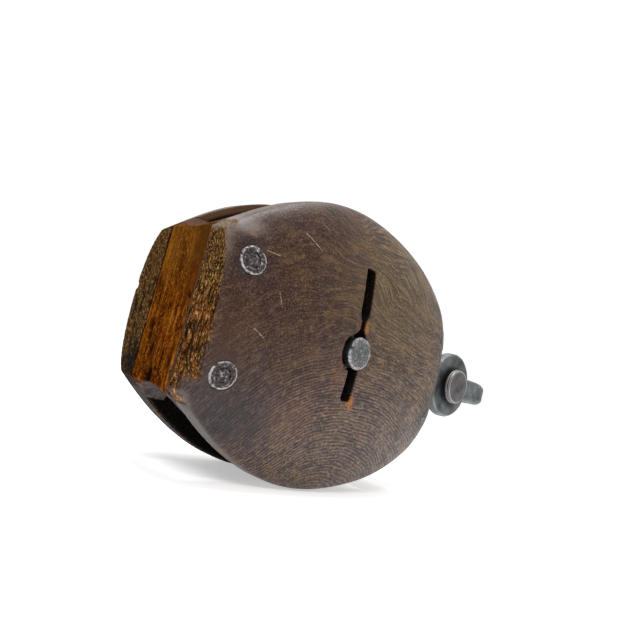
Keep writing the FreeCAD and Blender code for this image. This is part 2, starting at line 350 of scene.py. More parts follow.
class Shade:
    """One node material, built by short calls. Places inside it are in millimetres."""

    def __init__(self, name, roughness=0.5, metallic=0.0, coat=0.0, gloss=0.5):
        self.material = bpy.data.materials.new(name)
        self.material.use_nodes = True
        self.tree = self.material.node_tree
        self.shader = self.tree.nodes["Principled BSDF"]
        set_inputs(self.shader, Roughness=roughness, Metallic=metallic, Specular_IOR_Level=gloss,
                   Coat_Weight=coat, Coat_Roughness=COAT_ROUGHNESS)
        here = self.node("ShaderNodeTexCoord").outputs["Object"]
        self.place = self.scaled(here, 1 / MM)
        self.x, self.y, self.z = self.parts(self.place)

    def node(self, kind, **settings):
        made = self.tree.nodes.new(kind)
        for key, value in settings.items():
            setattr(made, key, value)
        return made

    def feed(self, socket, value):
        if isinstance(value, bpy.types.NodeSocket):
            self.tree.links.new(value, socket)
        else:
            socket.default_value = value

    def scaled(self, vector, factor):
        made = self.node("ShaderNodeVectorMath", operation="SCALE")
        self.feed(made.inputs[0], vector)
        self.feed(made.inputs["Scale"], factor)
        return made.outputs[0]

    def vector(self, operation, a, b=(0, 0, 0)):
        made = self.node("ShaderNodeVectorMath", operation=operation)
        self.feed(made.inputs[0], a)
        self.feed(made.inputs[1], b)
        return made.outputs[1] if operation in ("LENGTH", "DOT_PRODUCT") else made.outputs[0]

    def parts(self, vector):
        made = self.node("ShaderNodeSeparateXYZ")
        self.feed(made.inputs[0], vector)
        return made.outputs[0], made.outputs[1], made.outputs[2]

    def joined(self, x, y, z):
        made = self.node("ShaderNodeCombineXYZ")
        for socket, value in zip(made.inputs, (x, y, z)):
            self.feed(socket, value)
        return made.outputs[0]

    def math(self, operation, a, b=0.0, clamp=False):
        made = self.node("ShaderNodeMath", operation=operation, use_clamp=clamp)
        self.feed(made.inputs[0], a)
        self.feed(made.inputs[1], b)
        return made.outputs[0]

    def times(self, *values):
        total = values[0]
        for value in values[1:]:
            total = self.math("MULTIPLY", total, value)
        return total

    def plus(self, *values):
        total = values[0]
        for value in values[1:]:
            total = self.math("ADD", total, value)
        return total

    def step(self, value, low, high, to_low=0.0, to_high=1.0):
        """A smooth rise from to_low to to_high as value goes from low to high."""
        made = self.node("ShaderNodeMapRange", interpolation_type="SMOOTHSTEP")
        for socket, number in zip(made.inputs, (value, low, high, to_low, to_high)):
            self.feed(socket, number)
        return made.outputs[0]

    def noise(self, size, where=None, detail=2.0, rough=0.5, warp=0.0):
        """Noise about 0.5, its lumps about size mm across."""
        made = self.node("ShaderNodeTexNoise")
        self.feed(made.inputs["Vector"], self.place if where is None else where)
        set_inputs(made, Scale=1 / size, Detail=detail, Roughness=rough, Distortion=warp)
        return made.outputs[0]

    def sway(self, size, where=None, **looks):
        """The same noise about 0."""
        return self.math("SUBTRACT", self.noise(size, where, **looks), 0.5)

    def mix(self, factor, a, b):
        made = self.node("ShaderNodeMix", data_type="RGBA")
        for index, value in ((0, factor), (6, colour(a)), (7, colour(b))):
            self.feed(made.inputs[index], value)
        return made.outputs[2]

    def over(self, body, *layers):
        """The body with each (amount, colour) layer laid over it in turn."""
        for amount, tone in layers:
            body = self.mix(amount, body, tone)
        return body

    def ramp(self, factor, stops):
        made = self.node("ShaderNodeValToRGB")
        self.feed(made.inputs[0], factor)
        band = made.color_ramp
        while len(band.elements) < len(stops):
            band.elements.new(0.5)
        for element, (at, tone) in zip(band.elements, stops):
            element.position = at
            element.color = colour(tone)
        return made.outputs[0]

    def attribute(self, name):
        return self.node("ShaderNodeAttribute", attribute_name=name).outputs["Fac"]

    def spot(self, centre, radii, ragged=0.35, soft=0.6):
        """A ragged patch on the dome, 1 inside and 0 outside, given by its x and z."""
        off = self.vector("SUBTRACT", self.place, (centre[0], 0, centre[1]))
        off = self.vector("MULTIPLY", off, (1 / radii[0], 0, 1 / radii[1]))
        length = self.vector("LENGTH", off)
        length = self.plus(length, self.times(self.sway(1.8, detail=4, rough=0.75), 4 * ragged))
        return self.step(length, 1 - soft / 2, 1 + soft / 2, 1.0, 0.0)

    def stroke(self, start, end, width):
        """A thin line over the dome from one (x, z) place to another."""
        run = (end[0] - start[0], 0, end[1] - start[1])
        square = run[0] ** 2 + run[2] ** 2
        off = self.vector("SUBTRACT", self.place, (start[0], 0, start[1]))
        off = self.vector("MULTIPLY", off, (1, 0, 1))
        share = self.math("DIVIDE", self.vector("DOT_PRODUCT", off, run), square, clamp=True)
        gap = self.vector("LENGTH", self.vector("SUBTRACT", off, self.scaled(run, share)))
        gap = self.math("ABSOLUTE", self.plus(gap, self.times(self.sway(3.0), width)))
        broken = self.step(self.noise(0.9, detail=3, rough=0.8), 0.40, 0.52)
        return self.times(self.step(gap, width * 0.25, width, 1.0, 0.0), broken)

    def finish(self, body, rough=None, height=None, strength=1.0):
        """Sets the shader. The height for the bump is in millimetres."""
        self.feed(self.shader.inputs["Base Color"], body)
        if rough is not None:
            self.feed(self.shader.inputs["Roughness"], rough)
        if height is not None:
            bump = self.node("ShaderNodeBump")
            set_inputs(bump, Strength=strength, Distance=MM)
            self.feed(bump.inputs["Height"], height)
            self.feed(self.shader.inputs["Normal"], bump.outputs[0])
        return self.material


# ---- materials

# The heart of the tree, below the cheek as x and z, and the gap between growth rings.
HEART = (5.0, -95.0)
RING_GAP = 1.55
# Width of the dark joint line between the back cheek and the filler.
SEAM = 0.9
# Where the grain dips or curls: centre, half-sizes and how far the rings are pushed.
SWIRLS = [((-9, 68), (15, 26), 24.0), ((16, 58), (10, 10), 9.0), ((24, 30), (16, 9), 7.0),
          ((-30, 40), (14, 12), 6.0)]
# Scratches and cracks: their two ends and their width.
FRONT_SCRATCHES = [
    ((-65, -3), (-59, -6), 0.36),
    ((-66.5, 32.2), (-60, 32.0), 0.3),
    ((-47, 47.5), (-37, 42.5), 0.34),
    ((-57, 16), (-54, 10), 0.26),
]
FRONT_CRACKS = [
    ((-66, 49), (-53, 50), 0.42),
    ((-36, 65.5), (-31, 64.5), 0.7),
    ((8, 42), (9, 46), 0.5),
]
# Rust round the slot: centre, half-sizes, colour and strength.
DULL_RUST = (122, 66, 34)
FRESH_RUST = (176, 108, 26)
FRONT_RUST = [
    ((-10.5, -4), (1.3, 8), DULL_RUST, 0.55),
    ((-12, -16), (2.0, 6), DULL_RUST, 0.25),
    ((4.3, -25.2), (2.5, 3.2), FRESH_RUST, 0.9),
    ((3.1, 14.0), (1.3, 3.2), FRESH_RUST, 0.85),
    ((-4.0, 13.0), (0.9, 2.6), DULL_RUST, 0.6),
]
# Radius of the dark stain round each rivet.
RIVET_STAIN = 9.5
# Worn, stained and pale patches, the last a painted highlight on the upper tail shoulder: centre,
# half-sizes, raggedness, softness, strength and colour.
FRONT_PATCHES = [
    ((26, 36), (34, 34), 0.5, 1.6, 0.30, (92, 76, 42)),
    ((90, -22), (14, 13), 0.5, 1.2, 0.65, (44, 45, 48)),
    ((-66, -45), (26, 16), 0.5, 1.4, 0.72, (34, 32, 40)),
    ((-77, -10), (7, 18), 0.8, 1.2, 0.40, (66, 38, 20)),
    ((-74, 37), (1.3, 1.0), 0.8, 0.6, 0.40, (150, 84, 56)),
    ((-30, -38), (12, 8), 1.2, 1.4, 0.12, (150, 96, 66)),
    ((56, -25), (3.5, 9), 0.8, 0.6, 0.4, (44, 38, 38)),
    # A painted highlight: the sheen along the upper tail shoulder.
    ((-80, 41), (10, 4), 0.3, 1.4, 0.38, (150, 144, 138)),
]


def shifted(s, seed):
    """The place, moved so that two pieces of one wood don't show the same figure."""
    return s.vector("ADD", s.place, (seed * 131.0, seed * 57.0, seed * 83.0))


def growth(s, shift):
    """Distance from the heart of the tree, and distance round it, both warped as the grain is."""
    east = s.step(s.x, -8, 18, 1.0, 0.62)
    dx = s.times(s.math("SUBTRACT", s.x, HEART[0]), east)
    dz = s.math("SUBTRACT", s.z, HEART[1])
    r = s.vector("LENGTH", s.joined(dx, 0.0, dz))
    swing = s.step(s.z, -15, 28, 5.0, 26.0)
    r = s.plus(r, s.times(s.sway(42, shift, detail=0), swing))
    r = s.plus(r, s.times(s.sway(17, shift, detail=0), s.times(swing, 0.24)))
    lean = s.times(s.math("MAXIMUM", s.x, 0.0), s.step(s.z, 0, 50))
    r = s.plus(r, s.times(lean, 0.6), s.times(s.y, 0.35))
    for centre, radii, push in SWIRLS:
        r = s.plus(r, s.times(s.spot(centre, radii, ragged=0, soft=1.9), push))
    around = s.times(s.math("ARCTAN2", dx, dz), -HEART[1])
    return r, around


def ring_lines(s, shift, r, around, seed):
    """Growth rings: dark late wood, the paler wood between, and how much the grain curls."""
    waver = s.times(s.noise(14, shift, detail=1), 1.3)
    wave = s.math("SINE", s.times(s.plus(s.times(r, 1 / RING_GAP), waver), 2 * math.pi))
    bundle = s.noise(4.6, s.joined(r, s.times(around, 0.05), seed), detail=3, rough=0.65)
    clear = s.step(s.z, 12, -24, 0.15, 1.0)
    curly = s.times(s.step(s.x, -48, -18), s.step(s.z, 8, 26))
    clear = s.math("MAXIMUM", clear, s.times(curly, 0.8))
    clear = s.times(clear, s.step(s.plus(s.x, s.times(s.z, -0.8)), -50, -20, 0.35, 1.0))
    clear = s.math("MAXIMUM", clear, s.step(s.x, 30, 62, 0.0, 0.75))
    ring = s.times(s.step(wave, 0.05, 0.95), s.step(bundle, 0.38, 0.56, 0.20, 1.0), clear)
    between = s.times(s.step(wave, -0.1, -0.95), clear)
    return ring, between, curly


def front_marks(s, body, fleck):
    """The marks that only the front cheek has: stains, worn patches, rust, scratches, cracks and a
    painted highlight on the shoulder.
    """
    for x, z in RIVETS.values():
        stain = s.times(s.spot((x - 1.5, z), (RIVET_STAIN, RIVET_STAIN), 0.4, 1.0), 0.45)
        body = s.mix(stain, body, (34, 32, 36))
    for centre, radii, ragged, soft, amount, tone in FRONT_PATCHES:
        body = s.mix(s.times(s.spot(centre, radii, ragged, soft), amount), body, tone)
    for centre, radii, tone, strength in FRONT_RUST:
        grip = s.step(fleck, 0.45, 0.55, strength * 0.15, strength)
        grip = s.times(s.spot(centre, radii, 1.3, 0.9), grip)
        body = s.mix(grip, body, tone)
    for start, end, width in FRONT_SCRATCHES:
        body = s.mix(s.times(s.stroke(start, end, width), 0.65), body, (196, 172, 154))
    for start, end, width in FRONT_CRACKS:
        body = s.mix(s.times(s.stroke(start, end, width), 0.9), body, (22, 16, 15))
    return body


def chips(s):
    """Noise for the holes that splinters have left in end grain."""
    return s.noise(3.0, s.joined(s.times(s.y, 1.2), s.x, s.times(s.z, 0.4)), detail=4, rough=0.75)


def torn_end(s, front):
    """The torn end grain of a cheek, and the grain's own height."""
    grain = s.noise(0.85, s.joined(s.y, s.x, s.times(s.z, 0.45)), detail=4, rough=0.85)
    amber = s.attribute("amber")
    raw = s.ramp(grain, [(0.42, (8, 5, 2)), (0.47, (46, 29, 10)),
                         (0.53, (90, 58, 22)), (0.60, (192, 148, 88))])
    if not front:
        raw = s.mix(0.45, raw, (64, 44, 22))
    tan = s.noise(3.4, s.joined(s.y, s.x, s.times(s.z, 0.5)), detail=4, rough=0.85)
    pale = s.times(s.step(amber, 0.1, 0.6), s.step(tan, 0.56, 0.63, 0.0, 0.80))
    hole = s.times(s.step(chips(s), 0.50, 0.43, 0.0, 0.9), s.step(s.z, 26, 6, 0.4, 1.0))
    raw = s.mix(s.times(amber, s.step(tan, 0.42, 0.56, 0.0, 0.85)), raw, (122, 62, 4))
    raw = s.mix(pale, raw, (214, 176, 122))
    raw = s.mix(hole, raw, (12, 7, 3))
    return raw, grain


def cheek_wood(name, seed, front):
    """Old elm: rings carved across, handled to a dull polish, dark with tar and iron stain, with
    painted shade in its slot and mortise and a painted sheen on its worn edges.
    """
    s = Shade(name, coat=0.04, gloss=0.32)
    shift = shifted(s, seed)
    r, around = growth(s, shift)
    ring, between, curly = ring_lines(s, shift, r, around, seed)

    def grain(size, along, deep, **looks):
        """Noise drawn out along the growth rings."""
        return s.noise(size, s.joined(r, s.times(around, along), s.times(s.y, deep)), **looks)

    line = grain(1.3, 0.07, 0.1, detail=3, rough=0.7)
    fibre = grain(1.0, 0.26, 0.3, detail=2, rough=0.8)
    figure = grain(2.8, 0.36, 0.3, detail=4, rough=0.75)
    fleck = s.noise(0.8, shift, detail=3, rough=0.95)
    mottle = s.noise(6.5, shift, detail=4, rough=0.65, warp=0.8)
    hue = s.noise(13, s.vector("ADD", shift, (61, 7, 33)), detail=2, warp=0.4)
    blotch = s.noise(26, shift, detail=3, rough=0.55, warp=0.6)

    # How strongly each figure shows in each part of the face.
    crownward = s.times(s.step(s.x, 2, 14), s.step(s.z, -14, 6))
    calm = s.times(s.step(s.x, 15, -25), s.step(s.z, -32, -2))
    lively = s.plus(0.75, s.times(calm, -0.35), s.times(crownward, 0.25))
    grainy = s.times(s.step(s.x, -5, -45), s.step(s.z, -28, 2))
    grainy = s.plus(0.38, s.times(grainy, 0.5), s.times(crownward, 0.42))
    strong = s.times(s.plus(0.62, s.times(crownward, 0.38)), s.step(s.z, -34, -4, 0.4, 1.0))
    shade = s.times(s.step(s.x, 25, -60), s.step(s.z, -60, -5))

    body = s.ramp(blotch, [(0.30, (46, 35, 40)), (0.45, (68, 51, 50)),
                           (0.57, (84, 65, 57)), (0.72, (98, 79, 60))])
    body = s.over(
        body,
        (s.times(shade, 0.85), (46, 23, 13)),
        # Greyer towards the crown: partly the wood's tone, partly a painted sheen.
        (s.times(s.step(s.x, 15, 75), 0.65), (94, 86, 82)),
        (s.step(hue, 0.52, 0.66, 0.0, 0.65), (56, 42, 50)),
        (s.step(hue, 0.48, 0.34, 0.0, 0.55), (102, 76, 46)),
        (s.step(mottle, 0.52, 0.74, 0.0, 0.40), (102, 74, 50)),
        (s.step(mottle, 0.48, 0.28, 0.0, 0.55), (38, 30, 32)),
        (s.times(strong, s.step(figure, 0.48, 0.42, 0.0, 0.80)), (26, 18, 19)),
        (s.times(strong, s.step(figure, 0.53, 0.59, 0.0, 0.55)), (140, 106, 72)),
        (s.times(ring, 0.74), (18, 12, 14)),
        (s.times(between, 0.34), s.mix(curly, (144, 120, 112), (156, 128, 82))),
        (s.times(lively, s.step(line, 0.50, 0.38, 0.0, 0.80)), (18, 12, 12)),
        (s.times(lively, s.step(line, 0.53, 0.64, 0.0, 0.45)), (134, 108, 80)),
        (s.times(lively, s.step(fibre, 0.54, 0.65, 0.0, 0.50)), (166, 140, 116)),
        (s.times(lively, s.step(fibre, 0.47, 0.36, 0.0, 0.75)), (12, 8, 9)),
        (s.times(grainy, s.step(fleck, 0.54, 0.62, 0.0, 0.66)), (168, 136, 110)),
        (s.times(grainy, s.step(fleck, 0.48, 0.39, 0.0, 0.92)), (10, 6, 7)),
        (s.times(shade, 0.50), (46, 18, 6)),
    )
    if front:
        body = front_marks(s, body, fleck)

    seam = s.math("ABSOLUTE", s.math("SUBTRACT", s.y, GAP_HALF))
    seam = s.times(s.step(seam, SEAM * 0.4, SEAM, 0.95, 0.0), s.step(s.x, TAIL_X + 5, TAIL_X + 3))
    # The dark joint line joins the marked painted shade and soot.
    sooty = s.math("MAXIMUM", s.attribute("sooty"), seam)
    torn = s.attribute("torn")
    raw, raw_grain = torn_end(s, front)
    land = s.mix(fleck, (66, 44, 30), (140, 98, 62))
    # Colour of the painted shade and soot: near black, flecked grey-brown.
    soot = s.mix(s.step(fleck, 0.5, 0.64), (7, 6, 6), (46, 40, 38))
    body = s.over(
        body,
        (torn, raw),
        (s.times(s.attribute("land"), 0.8), land),
        # Painted shade in the slot and mortise, with soot and the dark joint.
        (sooty, soot),
        (s.attribute("pit"), (24, 16, 13)),
        # Pale worn edges, with a painted sheen on the flank and a painted highlight on the upper
        # tail rim.
        (s.times(s.attribute("rub"), 0.75), (148, 138, 128)),
    )

    rough = s.plus(0.36, s.times(s.noise(3.0, shift, detail=4), 0.22), s.times(torn, 0.25))
    rough = s.plus(rough, s.times(sooty, 0.3))
    dull = s.math("MAXIMUM", torn, sooty)
    s.feed(s.shader.inputs["Specular IOR Level"], s.step(dull, 0.0, 1.0, 0.24, 0.0))
    height = s.plus(s.times(ring, -0.06), s.times(fibre, 0.16), s.times(fleck, 0.09))
    height = s.plus(height, s.times(line, 0.10))
    height = s.plus(height, s.times(torn, s.times(raw_grain, 0.9)))
    return s.finish(body, rough, height, 0.8)


def filler_wood():
    """The tail filler's raw end: amber streaks along Z, the rest browned by the rope."""
    s = Shade("filler_wood", gloss=0.0)
    streak_place = s.joined(s.y, s.times(s.x, 0.6), s.times(s.z, 0.07))
    streak = s.noise(1.5, streak_place, detail=4, rough=0.7)
    wide = s.noise(4.5, streak_place, detail=2)
    blotch = s.noise(9.0, detail=3)
    speck = s.noise(1.0, s.joined(s.y, s.x, s.times(s.z, 0.6)), detail=3, rough=0.9)
    edge = s.plus(s.y, s.times(s.sway(5, detail=3), 9.0))
    by_front = s.step(edge, -5, -12)
    chip = s.times(s.step(chips(s), 0.50, 0.40), s.step(s.y, -8, -14), s.step(s.z, 14, 4))
    raw = s.ramp(streak, [(0.36, (30, 10, 1)), (0.46, (77, 34, 3)),
                          (0.54, (105, 53, 8)), (0.66, (156, 94, 30))])
    raw = s.over(
        raw,
        (s.times(s.step(s.z, -4, 22), 0.6), (98, 64, 20)),
        (s.step(wide, 0.50, 0.60, 0.0, 0.60), (60, 24, 4)),
        (s.step(blotch, 0.50, 0.70, 0.0, 0.50), (118, 66, 8)),
        (s.step(blotch, 0.48, 0.30, 0.0, 0.60), (54, 19, 1)),
        (s.step(speck, 0.54, 0.64, 0.0, 0.50), (172, 112, 42)),
        (s.times(s.step(speck, 0.46, 0.37, 0.0, 0.9), s.step(s.z, 34, -10, 0.45, 1.0)), (18, 6, 1)),
        (s.times(by_front, s.step(s.z, -10, 8), 0.6), (70, 30, 6)),
        (s.times(by_front, s.step(s.z, 16, 26), 0.5), (62, 42, 14)),
        (s.times(chip, 0.9), (20, 10, 6)),
        (s.attribute("pit"), (26, 11, 7)),
    )
    worn = s.mix(s.step(s.noise(3.0, detail=3), 0.35, 0.65), (70, 62, 62), (92, 84, 80))
    worn = s.mix(s.step(s.z, 0, 20), worn, s.mix(0.7, worn, (94, 66, 48)))
    body = s.mix(s.attribute("end"), worn, raw)
    seam = s.math("ABSOLUTE", s.math("SUBTRACT", s.y, GAP_HALF))
    seam = s.plus(seam, s.times(s.sway(2.2, detail=3), 1.6))
    body = s.mix(s.step(seam, SEAM * 0.4, SEAM, 0.95, 0.0), body, (12, 8, 7))
    rough = s.plus(0.46, s.times(streak, 0.25))
    height = s.plus(s.times(streak, 0.7), s.times(s.noise(0.7, detail=3), 0.15))
    return s.finish(body, rough, height, 0.9)


def sheave_wood():
    """Lignum vitae: dark green-brown, turned, polished by the rope in its groove."""
    s = Shade("sheave_wood", coat=0.25)
    radius = s.vector("LENGTH", s.joined(s.x, 0.0, s.z))
    figure = s.noise(3.0, s.joined(s.x, s.times(s.y, 0.5), s.times(s.z, 0.16)), detail=5, rough=0.7)
    turned = s.math("SINE", s.times(radius, 2 * math.pi / 0.9))
    body = s.ramp(figure, [(0.3, (34, 27, 20)), (0.5, (62, 48, 32)),
                           (0.62, (84, 68, 42)), (0.78, (106, 92, 62))])
    rim = s.step(radius, 44, 53)
    body = s.mix(s.times(rim, s.step(s.noise(2.0, detail=4), 0.4, 0.7), 0.6), body, (40, 33, 30))
    height = s.plus(s.times(turned, 0.012), s.times(figure, 0.10))
    return s.finish(body, s.plus(0.3, s.times(figure, 0.2)), height, 0.8)


def iron(name, dark, mid, light, size, rust=0.25, base=0.42, metallic=0.72):
    """Forged or turned iron: hammered, cool grey, with patches of brown rust."""
    s = Shade(name, metallic=metallic)
    broad = s.noise(size * 6, detail=3, rough=0.6)
    grit = s.noise(size, detail=5, rough=0.7)
    fine = s.noise(size * 0.22, detail=3, rough=0.7)
    body = s.ramp(broad, [(0.32, dark), (0.52, mid), (0.72, light)])
    body = s.mix(s.step(grit, 0.50, 0.28, 0.0, 0.55), body, dark)
    body = s.mix(s.step(fine, 0.58, 0.80, 0.0, 0.45), body, light)
    rusty = s.step(s.plus(broad, s.times(grit, 0.5)), 0.82, 1.0, 0.0, rust)
    body = s.mix(rusty, body, (88, 56, 38))
    # Lightened by marked wear and painted highlights, darkened by marked soot and painted shade.
    body = s.mix(s.times(s.attribute("rub"), 0.8), body, (188, 186, 182))
    body = s.mix(s.attribute("sooty"), body, (26, 23, 24))
    rough = s.plus(base, s.times(grit, 0.22), s.times(rusty, 0.4))
    height = s.plus(s.times(broad, 0.35), s.times(grit, 0.10), s.times(fine, 0.04))
    return s.finish(body, rough, height, 0.7)


def peened_metal(name, tones):
    """Hammered metal: a bright scratched rim round a speckled middle, in four tones."""
    s = Shade(name, metallic=0.45)
    speck = s.noise(1.2, detail=4, rough=0.9)
    patch = s.noise(2.4, detail=3, rough=0.6)
    body = s.plus(s.times(speck, 0.75), s.times(patch, 0.25))
    body = s.ramp(body, list(zip((0.40, 0.50, 0.56, 0.64), tones)))
    bright = s.times(s.attribute("rub"), s.step(s.noise(1.8, detail=4, rough=0.85), 0.44, 0.58))
    body = s.mix(bright, body, (196, 192, 190))
    # Darkened where marked: dark joints round the rivets, and painted shade on the sheave pin's
    # side.
    body = s.mix(s.attribute("sooty"), body, (20, 17, 18))
    height = s.plus(s.times(speck, 0.3), s.times(patch, 0.4))
    return s.finish(body, s.plus(0.34, s.times(speck, 0.25)), height, 0.9)


def bronze():
    s = Shade("bronze", metallic=0.9)
    patch = s.noise(5.0, detail=4, rough=0.65)
    radius = s.vector("LENGTH", s.joined(s.x, 0.0, s.z))
    turned = s.math("SINE", s.times(radius, 2 * math.pi / 0.45))
    body = s.ramp(patch, [(0.3, (78, 60, 34)), (0.5, (132, 98, 50)), (0.72, (178, 138, 78))])
    body = s.mix(s.step(s.noise(1.4, detail=4), 0.58, 0.75, 0.0, 0.6), body, (52, 58, 44))
    return s.finish(body, s.plus(0.3, s.times(patch, 0.25)), s.times(turned, 0.015), 0.8)


RIVET_TONES = [(20, 15, 17), (58, 48, 50), (90, 80, 80), (190, 184, 180)]
PIN_TONES = [(62, 62, 64), (90, 91, 92), (106, 108, 109), (176, 177, 176)]

MATERIALS = {
    "cheek_front": cheek_wood("cheek_wood_front", 0.0, True),
    "cheek_back": cheek_wood("cheek_wood_back", 1.0, False),
    "cheek_crown": cheek_wood("cheek_wood_crown", 2.0, False),
    "filler": filler_wood(),
    "sheave": sheave_wood(),
    "forged": iron("forged_iron", (54, 60, 63), (104, 109, 110), (146, 149, 149), 1.6),
    "strap": iron("strap_iron", (40, 38, 38), (66, 62, 60), (92, 88, 84), 1.8, rust=0.8),
    "pin": peened_metal("pin_steel", PIN_TONES),
    "head": iron("pin_head_steel", (54, 51, 54), (84, 80, 83), (110, 105, 103), 1.2),
    # The key's pale, barely metallic tones are a painted glint.
    "key": iron("key_steel_painted_glint", (30, 29, 30), (120, 118, 116), (215, 212, 206), 1.4, metallic=0.2),
    "rivet": peened_metal("rivet_metal", RIVET_TONES),
    "bronze": bronze(),
}


# ---- wooden shell

def settle_on_dome(points):
    """Puts points that lie a hair off the carved outline back onto it."""
    value = shell_value(points)
    slope = shell_gradient(points)
    size = np.linalg.norm(slope, axis=1) + 1e-9
    off = value / size
    pull = 1 - smoothstep(0.3, 0.7, np.abs(off))
    pull *= (np.abs(points[:, 1]) > FLANK_Y - 1) | (np.abs(points[:, 2]) > 10)
    return points - slope / size[:, None] * (off * pull)[:, None], off


def tool_marks(points, seed):
    """The slight unevenness of carved and handled wood."""
    broad = rough_noise(points, 30, seed) * 0.28
    return broad + rough_noise(points, 11, seed + 1) * 0.09


# How far handling has worn every face of the cheeks.
WORN_AWAY = 0.1
# Share of its height that the back cheek's upper tail corner has lost.
CORNER_WORN = 0.06
# Length that the front cheek's lower tail corner has lost.
CORNER_LOST = 5.0
# The front pin hole as worn: its radius, and its centre's place towards the tail.
WORN_HOLE_R = 9.5
WORN_HOLE_X = -1.5


def tail_tear(points, seed):
    """How deep the end grain is torn at each point of the tail face, in mm."""
    fibres = rough_noise(points, 2.6, seed, (1, 1, 0.22))
    lumps = rough_noise(points, 6.5, seed + 1, (1, 1, 0.5))
    return np.clip(fibres * 1.2 + lumps * 1.7 + 0.15, 0, 3.2)


def wooden_cheek(node, name, side, seed, cutters=()):
    """A cheek as old as it looks. The side is -1 for the front cheek and 1 for the back one."""
    piece = fine_copy(node, name, 0.75, cutters=cutters)
    mesh = piece.data
    settled, off = settle_on_dome(points_of(mesh))
    move_points(mesh, settled)
    normals = normals_of(mesh)
    near_outline = 1 - smoothstep(0.6, 1.6, np.abs(off))
    marks = tool_marks(settled, seed)
    points = settled + normals * (marks * near_outline)[:, None] - normals * WORN_AWAY
    facing_aft = smoothstep(0.3, 0.75, -normals[:, 0]) * (settled[:, 0] < TAIL_X + 6)
    rim = (1 - smoothstep(0.0, 5.0, settled[:, 0] - TAIL_X)) * near_outline
    areas = (facing_aft, rim, near_outline)
    points, depth = worn_cheek(points, settled, side, seed, areas)
    move_points(mesh, points)
    mark_cheek(mesh, settled, normals, off, side, depth, areas)
    return piece


def worn_cheek(points, settled, side, seed, areas):
    """Tears the tail end, breaks its rim and wears one corner. Also gives the tear's depth."""
    facing_aft, rim, near_outline = areas
    x, y, z = settled.T
    front = side < 0
    share = smoothstep(20, 8, z) * 0.8 + 0.2
    depth = tail_tear(points, seed + 3) * facing_aft * (share if front else 0.12)
    low = (0.4 + 0.6 * smoothstep(30, -10, z)) * (1.0 if front else 0.0)
    ragged = np.clip(rough_noise(points, 3.4, seed + 5) + 0.1, 0, 1) * rim * 1.4 * low
    nick = np.exp(-(((z - 6.5) / 1.3) ** 2) - ((x - TAIL_X) / 2.0) ** 2) * near_outline
    ragged += nick * (0.0 if front else 1.2)
    points[:, 0] += depth + ragged
    points[:, 1] -= np.sign(y) * ragged * 0.8
    if front:
        points = narrow_slot(points)
        corner = smoothstep(-18, -29, y) * smoothstep(-20, -36, z) * smoothstep(-74, -86, x)
        points[:, 0] += corner * CORNER_LOST
    else:
        worn = np.clip((np.abs(y) - 15) / 13, 0, 1) ** 2 * smoothstep(-50, -86, x) * (z > 0)
        points[:, 2] *= 1 - CORNER_WORN * worn
    return points, depth


def mark_cheek(mesh, settled, normals, off, side, depth, areas):
    """Stores where the cheek is torn, pitted, amber, brown inside, darkened by painted shade, or
    pale with wear and a painted highlight.
    """
    facing_aft, rim, near_outline = areas
    x, y, z = settled.T
    front = side < 0
    torn = np.clip(facing_aft + rim * 0.8 * smoothstep(8, -12, z) * front, 0, 1)
    if front:
        torn *= 1 - smoothstep(-20, -25, y) * smoothstep(-27, -33, z)
    mark(mesh, torn=torn * 0.95, pit=smoothstep(0.9, 2.2, depth) * 0.85)
    mark(mesh, amber=facing_aft * smoothstep(16, -8, z) * 0.85 * front)
    # Painted shade, near black: inside the slot, on the inner faces round the sheave below a band
    # at the top and less towards the tail, and on the back cheek's lower flank.
    in_slot = (np.abs(x) < 12) * (np.abs(z) < SLOT_HIGH + 2)
    slot_shade = smoothstep(0.25, 1.0, -off) * in_slot
    facing_gap = smoothstep(0.6, 0.9, -side * normals[:, 1])
    lining = facing_gap * (np.abs(y) < GAP_HALF + 8)
    above = smoothstep(20, 34, z)
    inner = lining * (smoothstep(0.6, 3.0, -off) * (1 - above) + smoothstep(2.5, 4.5, -off) * above)
    inner *= 1 - smoothstep(-64, -74, x) * 0.8
    # Painted shade along the back cheek's lower flank.
    shade_under_flank = smoothstep(FLANK_Y + 4, FLANK_Y, np.abs(y)) * smoothstep(-15, -30, z) * (not front)
    sooty = np.clip(slot_shade * 0.97 + inner * 0.97 + shade_under_flank * 0.7, 0, 1)
    # Pale marks on the front cheek: a painted sheen on the flank land, and wear with a painted
    # highlight along the upper tail rim.
    flank = smoothstep(FLANK_Y + 3, FLANK_Y - 1, np.abs(y)) * near_outline
    rub = (flank * 0.25 + rim * smoothstep(14, 34, z) * 0.35) * front
    mark(mesh, land=lining * above, sooty=sooty, rub=np.clip(rub, 0, 1))


def narrow_slot(points):
    """The slot's sides closed up just above the pin, where the wood has been left."""
    x, y, z = points.T
    neck = smoothstep(9.5, 12.5, z) * smoothstep(21, 16, z)
    inside = (np.abs(x) < SLOT_HALF + 0.8) * (y < -31)
    moved = points.copy()
    moved[:, 0] -= np.sign(x) * neck * inside * np.minimum(np.abs(x), 1.9)
    return moved


def worn_pin_hole():
    """A cutter: the front pin hole, worn wide towards the tail."""
    profile = [(0, -60), (WORN_HOLE_R, -60), (WORN_HOLE_R, -25), (0, -25)]
    return lathe("Hole_Cutter", profile, x=WORN_HOLE_X)


